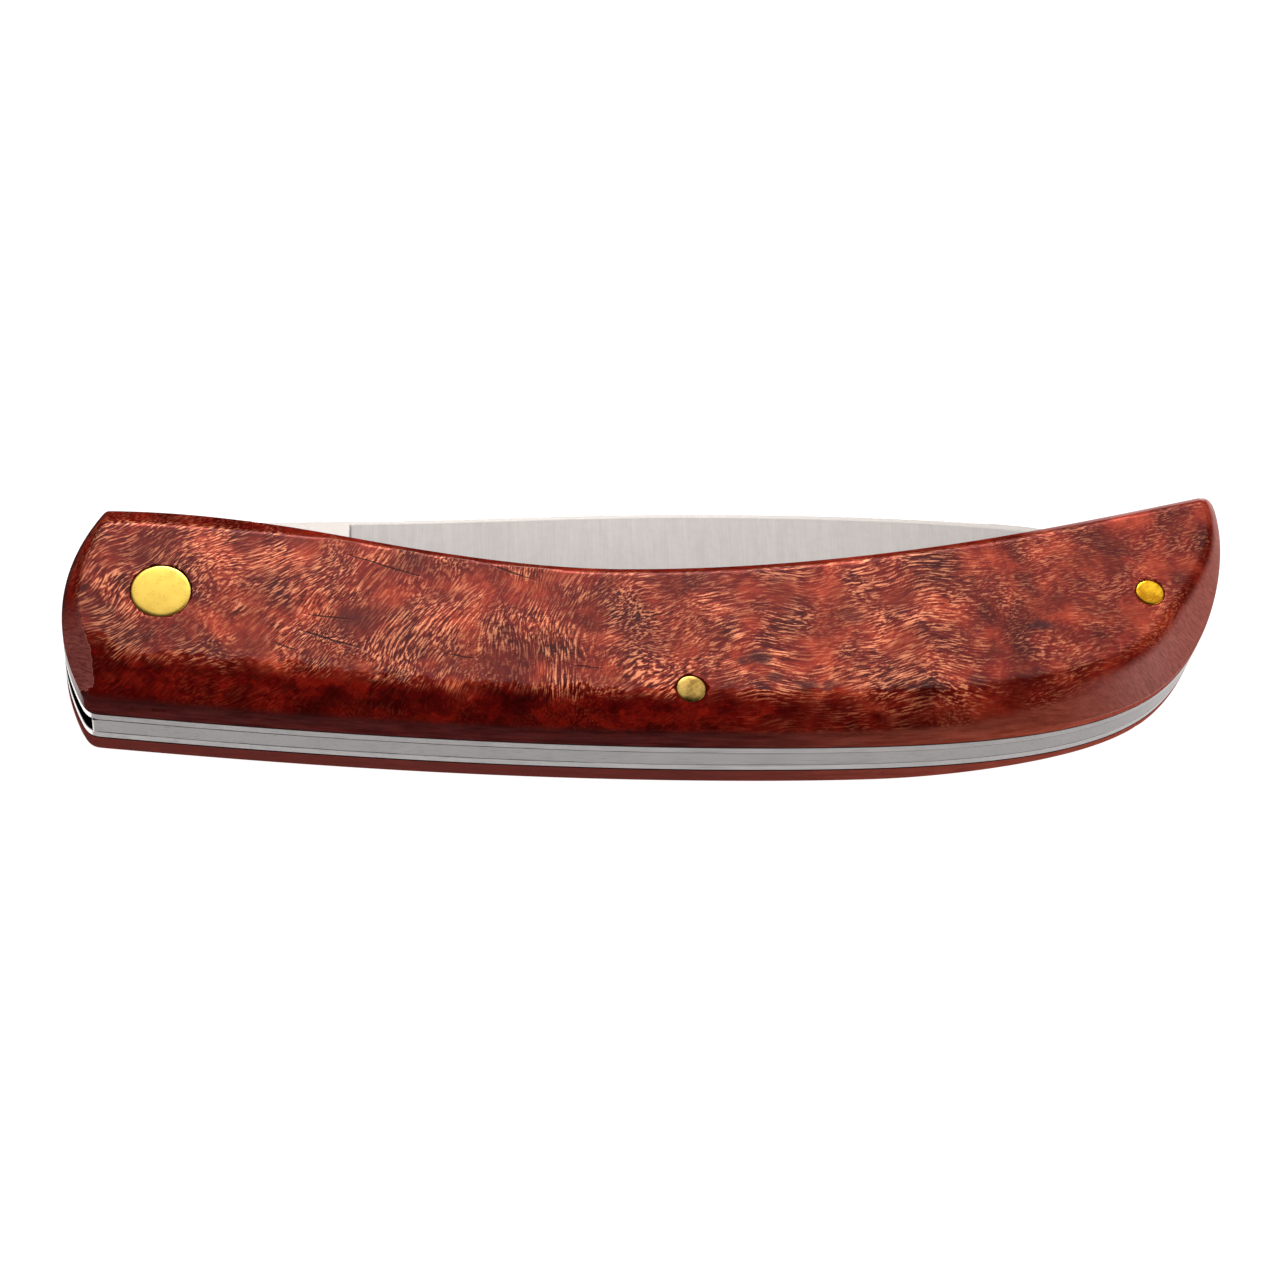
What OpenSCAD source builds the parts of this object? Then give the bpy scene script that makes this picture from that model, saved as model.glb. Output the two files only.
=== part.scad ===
// Slip-joint folding pocket knife, work-knife pattern, shown closed.
// The knife lies flat on its rear scale: +X runs from the pivot end to the tail,
// +Y points to the side the blade comes out of, +Z up to the front scale's face.

/* [Handle] */
// Closed length of the handle, end to end
handle_len = 120; // [112:1:128]
// Thickness of one wooden scale at its flat middle
scale_t = 4.0; // [3.4:0.1:4.6]
// Height of the scale's upright side wall
wall_t = 1.9; // [1.6:0.1:2.4]
// Width of the rounding from the side wall to the flat face
crown_w = 3.8; // [3:0.2:5]
// Thickness of the black sheet between scale and liner
spacer_t = 0.15; // [0.1:0.01:0.3]
// Thickness of one steel liner
liner_t = 1.0; // [0.8:0.05:1.4]
// Clear width between the liners
slot_w = 2.42; // [2.3:0.02:2.8]

/* [Pins] */
// Diameter of the pivot pin
pivot_d = 6; // [5:0.1:6.4]
// Diameter of the centre and tail pins
pin_d = 3; // [2.5:0.1:3.2]
// Width of the gap round each pin in the wood
wood_gap = 0.06; // [0.04:0.01:0.1]

/* [Blade] */
// Thickness of the blade at its tang and spine
blade_t = 2.12; // [1.9:0.02:2.14]
// Radial running clearance of the tang on the pivot pin
pivot_clearance = 0.03; // [0.02:0.01:0.08]
// Distance from the pivot to each flat of the tang, and radius of its rounded end
tang_flat = 7.5; // [7.2:0.1:7.8]
// Height of the unground strip along the spine
spine_strip = 0.45; // [0.3:0.05:0.8]
// Thickness of the blade just behind its cutting edge
edge_t = 0.3; // [0.2:0.05:0.5]

/* [Washers] */
// Thickness of one pivot washer
washer_t = 0.13; // [0.1:0.01:0.14]
// Outer diameter of the pivot washers
washer_d = 9; // [8:0.5:10]

/* [Hidden] */
$fn = 72;
fit = 0.02;                         // gap between pieces that only just clear each other
k = handle_len / 120;               // every outline point scales with the handle
rear_spacer_z = scale_t;
rear_liner_z = rear_spacer_z + spacer_t;
slot_z = rear_liner_z + liner_t;
front_liner_z = slot_z + slot_w;
front_spacer_z = front_liner_z + liner_t;
front_scale_z = front_spacer_z + spacer_t;
knife_t = front_scale_z + scale_t;
mid_z = knife_t / 2;

pivot = [-50.4, 1.6] * k;
centre = [2.0, -9.75] * k;
tail = [50.8, 1.65] * k;

// ---- curves ----
function bez(p, t) =
    p[0] * pow(1 - t, 3) + 3 * p[1] * t * pow(1 - t, 2)
    + 3 * p[2] * t * t * (1 - t) + p[3] * pow(t, 3);
// Points along a curve, its last point left out so that curves chain
function curve(p, n) = [for (i = [0:n - 1]) bez(p, i / n)];
function reversed(p) = [for (i = [len(p) - 1:-1:0]) p[i]];

// Handle outline, anticlockwise from the end of its rounded lower corner
back_left = [[-56.3, -10.2], [-33.6, -12.65], [-10.3, -14.35], [12.5, -14.35]] * k;
back_right = [[12.5, -14.35], [30.6, -14.35], [43.0, -13.2], [50.1, -8.8]] * k;
tail_curve = [[50.1, -8.8], [55.6, -5.4], [60.0, 2.6], [60.0, 11.0]] * k;
beak_curve = [[60.0, 11.0], [60.05, 13.7], [59.6, 14.5], [58.6, 14.35]] * k;
top_right = [[58.6, 14.35], [36.9, 9.1], [16.9, 5.3], [-3.4, 5.3]] * k;
top_left = [[-3.4, 5.3], [-21.9, 5.3], [-37.8, 12.0], [-56.3, 11.9]] * k;
pivot_end = [[-56.3, 11.9], [-61.0, 5.2], [-61.1, -2.3], [-58.15, -8.7]] * k;
corner = [[-58.15, -8.7], [-57.65, -9.8], [-57.2, -10.1], [-56.3, -10.2]] * k;

// The four sides as points at a share from 0 to 1: along +X, or across towards +Y
function back_at(u) = u < 0.5 ? bez(back_left, 2 * u) : bez(back_right, 2 * u - 1);
function top_at(u) = u < 0.5 ? bez(top_left, 1 - 2 * u) : bez(top_right, 2 - 2 * u);
function pivot_at(v) = v < 0.12 ? bez(corner, 1 - v / 0.12) : bez(pivot_end, (1 - v) / 0.88);
function tail_at(v) = v < 0.8 ? bez(tail_curve, v / 0.8) : bez(beak_curve, (v - 0.8) / 0.2);
outline = concat(
    curve(back_left, 16), curve(back_right, 14), curve(tail_curve, 12),
    curve(beak_curve, 6), curve(top_right, 15), curve(top_left, 15), curve(pivot_end, 18),
    curve(corner, 6)
);

// ---- wooden scales ----
grid_u = 40;                        // cells along the handle
grid_v = 22;                        // cells across it

// Shares from 0 to 1, closer together towards both ends
function share(i, n) = (1 - cos(180 * i / n)) / 2;

// Point at share u along and v across the region between the four sides
function patch(u, v) =
    (1 - v) * back_at(u) + v * top_at(u) + (1 - u) * pivot_at(v) + u * tail_at(v)
    - ((1 - u) * (1 - v) * back_at(0) + u * (1 - v) * back_at(1)
       + (1 - u) * v * top_at(0) + u * v * top_at(1));

function to_segment(p, a, b) =
    let (ab = b - a, s = max(0, min(1, (p - a) * ab / (ab * ab)))) norm(p - a - s * ab);
function edge_distance(p) =
    min([for (i = [0:len(outline) - 1]) to_segment(p, outline[i], outline[(i + 1) % len(outline)])]);
// Height of the scale's face above its liner side: a quarter ellipse in from the edge
function crown(d) = wall_t + (scale_t - wall_t) * sqrt(1 - pow(1 - min(1, d / crown_w), 2));

// One scale, its liner side at z = 0 and its face up
module scale_blank() {
    cols = grid_v + 1;
    count = (grid_u + 1) * cols;
    flat = [for (i = [0:grid_u]) for (j = [0:grid_v]) patch(share(i, grid_u), share(j, grid_v))];
    base = [for (p = flat) [p[0], p[1], 0]];
    face = [for (p = flat) [p[0], p[1], crown(edge_distance(p))]];
    cells = [for (i = [0:grid_u - 1]) for (j = [0:grid_v - 1])
        let (a = i * cols + j) [a, a + cols, a + cols + 1, a + 1]];
    rim = concat(
        [for (i = [0:grid_u - 1]) i * cols],
        [for (j = [0:grid_v - 1]) grid_u * cols + j],
        [for (i = [grid_u:-1:1]) i * cols + grid_v],
        [for (j = [grid_v:-1:1]) j]
    );
    polyhedron(
        points = concat(base, face),
        faces = concat(
            [for (c = cells) [c[0], c[1], c[2], c[3]]],
            [for (c = cells) [c[3] + count, c[2] + count, c[1] + count, c[0] + count]],
            [for (i = [0:len(rim) - 1]) let (a = rim[i], b = rim[(i + 1) % len(rim)])
                [a, a + count, b + count, b]]
        )
    );
}

module pin_holes(gap, top) {
    translate([pivot[0], pivot[1], -1]) cylinder(d = pivot_d + 2 * gap, h = top + 2);
    for (p = [centre, tail])
        translate([p[0], p[1], -1]) cylinder(d = pin_d + 2 * gap, h = top + 2);
}

module scale_part() {
    difference() {
        scale_blank();
        pin_holes(wood_gap, scale_t);
    }
}

module front_scale() {
    color("sienna") translate([0, 0, front_scale_z]) scale_part();
}

module rear_scale() {
    color("sienna") translate([0, 0, scale_t]) mirror([0, 0, 1]) scale_part();
}

// ---- spacers and liners ----
module sheet_part(thickness, gap) {
    difference() {
        linear_extrude(thickness) polygon(outline);
        pin_holes(gap, thickness);
    }
}

module front_spacer() {
    color("black") translate([0, 0, front_spacer_z]) sheet_part(spacer_t, wood_gap);
}

module rear_spacer() {
    color("black") translate([0, 0, rear_spacer_z]) sheet_part(spacer_t, wood_gap);
}

module front_liner() {
    color("silver") translate([0, 0, front_liner_z]) sheet_part(liner_t, 0);
}

module rear_liner() {
    color("silver") translate([0, 0, rear_liner_z]) sheet_part(liner_t, 0);
}

// ---- back spring ----
tang_gap = 0.1;                     // running gap between the round tang end and the spring
spring_inner_y = pivot[1] - tang_flat - tang_gap;
spring_end_x = pivot[0] - 6.65;     // free end, inside the liners' rounded corner
tail_block = [[59.4, 5.4], [49.2, 5.4]] * k; // top of the spring's fixed end, above the tail pin
eye_r = 4.7 * k;                    // reaches past both edges of the spring at the centre pin
eye_gap = 0.05;                     // running gap round the eye
spring_inner = [[14, 0], [36, 0], [47.4, 3.4], [48.0, 10.0]] * k;
back_edge = concat(curve(back_left, 16), curve(back_right, 14), curve(tail_curve, 12));

module spring_shape() {
    polygon(concat(
        [[spring_end_x, spring_inner_y], [spring_end_x, back_left[0][1] - 1]],
        [for (p = back_edge) if (p[0] > spring_end_x && p[1] < tail_block[0][1]) p],
        tail_block,
        reversed([for (p = curve(spring_inner, 14)) [p[0], p[1] + spring_inner_y]])
    ));
}

module spring_plate() {
    intersection() {
        spring_shape();
        polygon(outline);
    }
}

// Everything on the pivot side of the centre pin
module arm_side(t) {
    translate([centre[0] - handle_len, -handle_len / 2, -1]) cube([handle_len, handle_len, t + 2]);
}

module back_spring() {
    color("lightgray") translate([0, 0, slot_z]) difference() {
        linear_extrude(slot_w) spring_plate();
        arm_side(slot_w);
        translate([centre[0], centre[1], -1]) cylinder(r = eye_r + eye_gap, h = slot_w + 2);
        translate([tail[0], tail[1], -1]) cylinder(d = pin_d, h = slot_w + 2);
    }
}

module back_spring_arm() {
    arm_t = slot_w - 2 * fit;
    color("lightgray") translate([0, 0, slot_z + fit]) difference() {
        intersection() {
            linear_extrude(arm_t) spring_plate();
            union() {
                arm_side(arm_t);
                translate([centre[0], centre[1], -1]) cylinder(r = eye_r, h = arm_t + 2);
            }
        }
        translate([centre[0], centre[1], -1]) cylinder(d = pin_d + 2 * fit, h = arm_t + 2);
    }
}

// ---- blade ----
plunge_x = -31 * k;
shoulder_x = pivot[0] + 6.75;       // stops on the spring's free end when open
edge_y = -5.3 * k;
spine_tang = [[shoulder_x, 13.4 * k], [plunge_x, 13.6 * k]];
spine_rise = [[-31, 13.6], [-18, 13.8], [-7, 14.75], [7, 14.75]] * k;
spine_fall = [[7, 14.75], [19, 14.75], [30, 14.45], [40, 13.45]] * k;
spine_tip = [[40, 13.45], [43.4, 13.11], [46.3, 12.1], [48, 10.2]] * k;
edge_line = [[-31, -5.3], [-15, -5.3], [0, -5.3], [16, -5.3]] * k;
edge_belly = [[16, -5.3], [34, -5.3], [46, 3.2], [48, 10.2]] * k;
heel = [9.2, 10.2];                 // from the pivot along +X: end of the flat, start of the edge

module tang_shape() {
    translate(pivot) polygon(concat(
        [for (i = [0:24]) let (a = 270 - i * 7.5) tang_flat * [cos(a), sin(a)]],
        [[shoulder_x - pivot[0], tang_flat]],
        [for (p = spine_tang) p - pivot],
        [[plunge_x, edge_y] - pivot, [heel[1], edge_y - pivot[1]], [heel[0], -tang_flat]]
    ));
}

edge_w = 0.5;                       // width of the cutting bevel
taper = 0.45;                       // share of the thickness lost from the plunge line to the tip

// Half thickness of the spine at share s of its length
function spine_half(s) = blade_t / 2 * (1 - taper * pow(s, 2.5));

// The ground part: six-sided sections between the spine and the cutting edge
module ground_blade() {
    spine = concat(curve(spine_rise, 12), curve(spine_fall, 10), curve(spine_tip, 6));
    edge = concat(curve(edge_line, 12), curve(edge_belly, 16));
    last = len(spine) - 1;
    sections = [for (i = [0:last])
        let (s = i / last, a = spine[i], b = edge[i], width = norm(b - a), down = (b - a) / width,
             h = spine_half(s), e = min(h, edge_t / 2),
             m = a + down * min(spine_strip, 0.3 * width),
             n = b - down * min(edge_w, 0.2 * width))
        [[a[0], a[1], h], [m[0], m[1], h], [n[0], n[1], e],
         [b[0], b[1], 0],
         [n[0], n[1], -e], [m[0], m[1], -h], [a[0], a[1], -h]]];
    sides = 7;
    tip = len(sections) * sides;
    polyhedron(
        points = concat([for (s = sections) for (p = s) p], [[spine_tip[3][0], spine_tip[3][1], 0]]),
        faces = concat(
            [[for (j = [0:sides - 1]) j]],
            [for (i = [0:last - 1]) for (j = [0:sides - 1])
                let (a = i * sides + j, b = i * sides + (j + 1) % sides) [a, a + sides, b + sides, b]],
            [for (j = [0:sides - 1]) [last * sides + j, tip, last * sides + (j + 1) % sides]]
        )
    );
}

// Nail nick in the rear face: a long shallow cut from a round cutter
nick_r = 55;
nick_depth = 0.45;
nick_pos = [8, 12.3] * k;
nick_h = 1.6;

module blade() {
    color("gainsboro") translate([0, 0, mid_z]) difference() {
        union() {
            translate([0, 0, -blade_t / 2]) linear_extrude(blade_t) tang_shape();
            ground_blade();
        }
        translate([pivot[0], pivot[1], -blade_t])
            cylinder(d = pivot_d + 2 * pivot_clearance, h = 2 * blade_t);
        translate([nick_pos[0], nick_pos[1], nick_depth - blade_t / 2 - nick_r])
            rotate([-90, 0, 0]) cylinder(r = nick_r, h = nick_h, center = true, $fn = 180);
    }
}

// ---- pins and washers ----
module round_pin(at, d, low, high) {
    color("gold") translate([at[0], at[1], low]) cylinder(d = d, h = high - low);
}

module pivot_pin() round_pin(pivot, pivot_d, 0, knife_t);

module face_pin(at) {
    sunk = scale_t - crown(edge_distance(at));
    round_pin(at, pin_d, sunk, knife_t - sunk);
}

module centre_pin() face_pin(centre);
module tail_pin() face_pin(tail);

module washer(z) {
    color("darkgoldenrod") translate([pivot[0], pivot[1], z]) difference() {
        cylinder(d = washer_d, h = washer_t);
        translate([0, 0, -1]) cylinder(d = pivot_d, h = washer_t + 2);
    }
}

module front_washer() washer(front_liner_z - washer_t);
module rear_washer() washer(slot_z);

front_scale();
rear_scale();
front_spacer();
rear_spacer();
front_liner();
rear_liner();
back_spring();
back_spring_arm();
blade();
pivot_pin();
centre_pin();
tail_pin();
front_washer();
rear_washer();
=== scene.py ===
import math

import bmesh
import bpy
import numpy as np
from mathutils import Matrix, Vector


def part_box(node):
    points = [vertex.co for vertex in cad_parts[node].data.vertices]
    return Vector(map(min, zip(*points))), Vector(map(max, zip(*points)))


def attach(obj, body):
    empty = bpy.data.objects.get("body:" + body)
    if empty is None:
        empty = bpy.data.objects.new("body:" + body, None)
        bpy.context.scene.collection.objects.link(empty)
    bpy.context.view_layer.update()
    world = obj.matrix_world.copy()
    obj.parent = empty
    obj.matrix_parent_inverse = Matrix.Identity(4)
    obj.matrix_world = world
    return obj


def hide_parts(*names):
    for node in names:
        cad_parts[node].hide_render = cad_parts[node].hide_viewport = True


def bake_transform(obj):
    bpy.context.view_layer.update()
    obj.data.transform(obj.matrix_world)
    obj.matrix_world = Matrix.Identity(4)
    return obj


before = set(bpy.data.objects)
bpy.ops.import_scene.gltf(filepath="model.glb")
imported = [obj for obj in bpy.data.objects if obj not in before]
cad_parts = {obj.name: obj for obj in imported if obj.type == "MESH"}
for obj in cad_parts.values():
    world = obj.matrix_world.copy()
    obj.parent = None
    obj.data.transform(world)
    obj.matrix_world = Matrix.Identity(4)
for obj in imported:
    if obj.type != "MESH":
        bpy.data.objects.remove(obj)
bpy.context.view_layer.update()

MM = 0.001

# ---------------------------------------------------------------- places taken from the CAD nodes


def levels(node):
    low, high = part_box(node)
    return low.z / MM, high.z / MM


def middle(node):
    low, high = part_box(node)
    return np.array([(low.x + high.x) / 2, (low.y + high.y) / 2]) / MM


REAR_SPACER = levels("rear_spacer")
FRONT_SPACER = levels("front_spacer")
REAR_LINER = levels("rear_liner")
FRONT_LINER = levels("front_liner")
SLOT = (REAR_LINER[1], FRONT_LINER[0])
KNIFE_T = levels("front_scale")[1]
SCALE_T = KNIFE_T - FRONT_SPACER[1]
MID_Z = KNIFE_T / 2
PIVOT, CENTRE, TAIL = middle("pivot_pin"), middle("centre_pin"), middle("tail_pin")
PIVOT_R, PIN_R = 3.0, 1.5
WOOD_GAP = 0.07
SPRING_GAP = 0.01
PIVOT_CLEARANCE = 0.03
THINNEST = 0.012

# ---------------------------------------------------------------- outline


def bez(p, t):
    p = np.asarray(p, float)
    t = np.asarray(t, float)[:, None]
    return (p[0] * (1 - t) ** 3 + 3 * p[1] * t * (1 - t) ** 2
            + 3 * p[2] * t * t * (1 - t) + p[3] * t ** 3)


BACK_LEFT = [[-56.3, -10.2], [-33.6, -12.65], [-10.3, -14.35], [12.5, -14.35]]
BACK_RIGHT = [[12.5, -14.35], [30.6, -14.35], [43.0, -13.2], [50.1, -8.8]]
TAIL_CURVE = [[50.1, -8.8], [55.6, -5.4], [60.0, 2.6], [60.0, 11.0]]
BEAK = [[60.0, 11.0], [60.05, 13.7], [59.6, 14.5], [58.6, 14.35]]
TOP_RIGHT = [[58.6, 14.35], [36.9, 9.1], [16.9, 5.3], [-3.4, 5.3]]
TOP_LEFT = [[-3.4, 5.3], [-21.9, 5.3], [-37.8, 12.0], [-56.3, 11.9]]
PIVOT_END = [[-56.3, 11.9], [-61.0, 5.2], [-61.1, -2.3], [-58.15, -8.7]]
CORNER = [[-58.15, -8.7], [-57.65, -9.8], [-57.2, -10.1], [-56.3, -10.2]]


def chain(parts, share):
    """Points along several curves joined end to end; share runs from 0 to 1 over them all."""
    share = np.asarray(share, float)
    out = np.zeros((len(share), 2))
    for p, a, b in parts:
        inside = (share >= a) & (share <= b)
        out[inside] = bez(p, (share[inside] - a) / (b - a))
    return out


def back_at(u):
    return chain([(BACK_LEFT, 0, 0.5), (BACK_RIGHT, 0.5, 1)], u)


def top_at(u):
    return chain([(TOP_LEFT[::-1], 0, 0.5), (TOP_RIGHT[::-1], 0.5, 1)], u)


def pivot_at(v):
    return chain([(CORNER[::-1], 0, 0.12), (PIVOT_END[::-1], 0.12, 1)], v)


def tail_at(v):
    return chain([(TAIL_CURVE, 0, 0.8), (BEAK, 0.8, 1)], v)


def spread(n):
    """0 to 1 in n steps, closer together towards both ends."""
    return (1 - np.cos(np.linspace(0, math.pi, n + 1))) / 2


def distance(points, line):
    """Distance from each point to a polyline."""
    best = np.full(len(points), 1e9)
    for a, b in zip(line[:-1], line[1:]):
        ab = b - a
        s = np.clip(((points - a) @ ab) / (ab @ ab), 0, 1)
        best = np.minimum(best, np.linalg.norm(points - a - s[:, None] * ab, axis=1))
    return best


def smooth(x, a, b):
    t = np.clip((x - a) / (b - a), 0, 1)
    return t * t * (3 - 2 * t)


def lerp(a, b, w):
    return a + (b - a) * w


LINES = {
    "back": back_at(np.linspace(0, 1, 121)),
    "top": top_at(np.linspace(0, 1, 121)),
    "pivot": bez(PIVOT_END, np.linspace(0, 1, 61)),
    "corner": bez(CORNER, np.linspace(0, 1, 13)),
    "tail": tail_at(np.linspace(0, 1, 71)),
}


BLEND_POWER = 16                    # the higher, the sharper the ridge where two roundings meet


def face_drop(points):
    """For each point, in mm: how far the scale's face lies below its flat middle, whether it is on the
    ground facet, and its distance from the back."""
    x, y = points[:, 0], points[:, 1]
    d = {name: distance(points, line) for name, line in LINES.items()}
    # rounding along the back
    width = lerp(5.0, 3.7, smooth(x, -57, -22))
    s = np.clip(1 - np.minimum(d["back"], d["corner"]) / width, 0, 1)
    rounded = 2.1 * (1 - np.sqrt(1 - s * s))
    # wide slanted rounding at the tail
    slant_w = lerp(4.6, 1.7, smooth(y, -2, 11))
    slant_h = lerp(2.9, 1.5, smooth(y, -2, 11))

    def slant(dist):
        return slant_h * np.clip(1 - dist / slant_w, 0, 1) ** 1.35

    to_tail = smooth(x, 22, 46)
    back = lerp(rounded, slant(d["back"]), to_tail)
    tail = slant(d["tail"])
    # bevel along the top, broad by the pivot and narrow along the hollow
    bevel_w = lerp(2.3, 1.45, smooth(x, -48, -30)) - 0.2 * smooth(x, 35, 55)
    bevel_h = lerp(1.2, 1.5, smooth(x, -40, -24)) - 0.25 * smooth(x, 30, 55)
    top = (bevel_h * np.clip(1 - d["top"] / bevel_w, 0, 1)
           + 0.14 * (1 - np.sqrt(1 - np.clip(1 - d["top"] / 0.3, 0, 1) ** 2)))
    # ground facet round the pivot end
    facet_w = 1.65 + 0.75 * smooth(-y, -1, 7) - 0.2 * smooth(y, 5, 11)
    pivot = 1.8 * np.clip(1 - d["pivot"] / facet_w, 0, 1) ** 1.1
    drops = np.stack([back, tail, top, pivot])
    ground = (pivot > np.maximum(np.maximum(back, top), 0.01)).astype(float)
    drop = np.power(np.sum(np.power(drops, BLEND_POWER), axis=0), 1 / BLEND_POWER)
    return drop, ground, np.minimum(d["back"], d["corner"])


# ---------------------------------------------------------------- mesh helpers


def make(name, verts, faces, crease=35, attributes=None):
    mesh = bpy.data.meshes.new(name)
    mesh.from_pydata([tuple(float(c) * MM for c in v) for v in verts], [], faces)
    for key, values in (attributes or {}).items():
        layer = mesh.attributes.new(key, "FLOAT", "POINT")
        layer.data.foreach_set("value", np.asarray(values, np.float32))
    bm = bmesh.new()
    bm.from_mesh(mesh)
    bmesh.ops.recalc_face_normals(bm, faces=bm.faces)
    limit = math.radians(crease)
    for f in bm.faces:
        f.smooth = True
    for e in bm.edges:
        if len(e.link_faces) == 2 and e.calc_face_angle(0) > limit:
            e.smooth = False
    bm.to_mesh(mesh)
    bm.free()
    obj = bpy.data.objects.new(name, mesh)
    bpy.context.scene.collection.objects.link(obj)
    return obj


def loft(n, rings):
    """Faces between neighbouring closed rings of n points each."""
    return [[r * n + i, r * n + (i + 1) % n, (r + 1) * n + (i + 1) % n, (r + 1) * n + i]
            for r in range(rings - 1) for i in range(n)]


def lids(n, rings):
    """The two end faces of such a stack of rings."""
    return [list(range(n))[::-1], list(range((rings - 1) * n, rings * n))]


def cutter(at, radius, low, high, segments=96):
    a = np.linspace(0, 2 * math.pi, segments, endpoint=False)
    ring = np.stack([at[0] + radius * np.cos(a), at[1] + radius * np.sin(a)], 1)
    verts = [(x, y, z) for z in (low, high) for x, y in ring]
    return make("cutter", verts, loft(segments, 2) + lids(segments, 2))


def cut(obj, cutters):
    """Takes the cutters out of obj and keeps the result as its mesh."""
    for c in cutters:
        mod = obj.modifiers.new("hole", "BOOLEAN")
        mod.operation = "DIFFERENCE"
        mod.solver = "EXACT"
        mod.object = c
    bpy.context.view_layer.update()
    result = bpy.data.meshes.new_from_object(
        obj.evaluated_get(bpy.context.evaluated_depsgraph_get()))
    obj.modifiers.clear()
    old = obj.data
    obj.data = result
    bpy.data.meshes.remove(old)
    for c in cutters:
        bpy.data.objects.remove(c)


# ---------------------------------------------------------------- wooden scales


def scale_mesh(name, base, sign):
    """One scale: a patch of its face between the four sides, and walls down to the level base."""
    nu, nv = 420, 92
    u, v = spread(nu), spread(nv)
    low, high, left, right = back_at(u), top_at(u), pivot_at(v), tail_at(v)
    U, V = u[:, None, None], v[None, :, None]
    flat = ((1 - V) * low[:, None] + V * high[:, None] + (1 - U) * left[None] + U * right[None]
            - ((1 - U) * (1 - V) * low[0] + U * (1 - V) * low[-1]
               + (1 - U) * V * high[0] + U * V * high[-1])).reshape(-1, 2)
    drop, ground, inward = face_drop(flat)
    cols = nv + 1
    face = np.column_stack([flat, base + sign * (SCALE_T - drop)])
    cells = [[i * cols + j, (i + 1) * cols + j, (i + 1) * cols + j + 1, i * cols + j + 1]
             for i in range(nu) for j in range(nv)]
    rim = ([i * cols for i in range(nu)] + [nu * cols + j for j in range(nv)]
           + [i * cols + nv for i in range(nu, 0, -1)] + list(range(nv, 0, -1)))
    n, count = len(rim), len(face)
    rows, faces = [face], cells
    shares = (0.62, 0.3, 0.05, 0.0)
    for s in shares:
        ring = face[rim].copy()
        ring[:, 2] = base + (ring[:, 2] - base) * s
        rows.append(ring)
    previous = rim
    for r in range(len(shares)):
        current = [count + r * n + i for i in range(n)]
        faces = faces + [[previous[i], previous[(i + 1) % n], current[(i + 1) % n], current[i]]
                         for i in range(n)]
        previous = current
    faces = faces + [previous]
    drops = np.concatenate([drop] + [drop[rim]] * len(shares))
    walls = np.concatenate([np.zeros(count)] + [np.ones(n)] * len(shares))
    grounds = np.concatenate([ground] + [ground[rim] * 0] * len(shares))
    inwards = np.concatenate([inward] + [inward[rim] * 0] * len(shares))
    seams = np.concatenate([np.zeros(count + n * (len(shares) - 1)), np.ones(n)])
    obj = make(name, np.concatenate(rows), faces, 33,
               {"drop": drops, "wall": walls, "facet": grounds, "seam": seams, "inward": inwards})
    z0, z1 = sorted((base - sign, base + sign * (SCALE_T + 1)))
    cut(obj, [cutter(PIVOT, PIVOT_R + WOOD_GAP, z0, z1),
              cutter(CENTRE, PIN_R + WOOD_GAP, z0, z1),
              cutter(TAIL, PIN_R + WOOD_GAP, z0, z1)])
    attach(obj, "handle")
    return obj


# ---------------------------------------------------------------- flat plates


def ring_normals(ring):
    forward = np.roll(ring, -1, axis=0) - ring
    forward /= np.maximum(np.linalg.norm(forward, axis=1), 1e-9)[:, None]
    back = np.roll(forward, 1, axis=0)
    t = forward + back
    t /= np.maximum(np.linalg.norm(t, axis=1), 1e-9)[:, None]
    return np.stack([-t[:, 1], t[:, 0]], 1)      # inwards on an anticlockwise ring


def plate(name, ring, low, high, inset, chamfer_low, chamfer_high):
    """A plate between two levels with an anticlockwise outline; inset and chamfers per ring point."""
    n = len(ring)
    inward = ring_normals(ring)
    one = np.ones(n)
    inset, cl, ch = inset * one, chamfer_low * one, chamfer_high * one
    steps = [(inset + cl, low * one), (inset, low + cl), (inset, high - ch), (inset + ch, high * one)]
    verts = np.concatenate([np.column_stack([ring + inward * off[:, None], z]) for off, z in steps])
    return make(name, verts, loft(n, 4) + lids(n, 4), 25, {"side": np.repeat([0, 1, 1, 0], n)})


def outline_ring():
    t = np.linspace(0, 1, 70, endpoint=False)
    s = np.linspace(0, 1, 40, endpoint=False)
    return np.concatenate([bez(BACK_LEFT, t), bez(BACK_RIGHT, t), bez(TAIL_CURVE, s), bez(BEAK, s[::3]),
                           bez(TOP_RIGHT, t), bez(TOP_LEFT, t), bez(PIVOT_END, s), bez(CORNER, s[::3])])


def wander(x, seed):
    """A smooth wavering value between 0 and 1 along x."""
    rng = np.random.default_rng(seed)
    knots = rng.random(64)
    return np.interp(x, np.linspace(-65, 65, 64), knots)


# ---------------------------------------------------------------- node helpers


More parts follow.
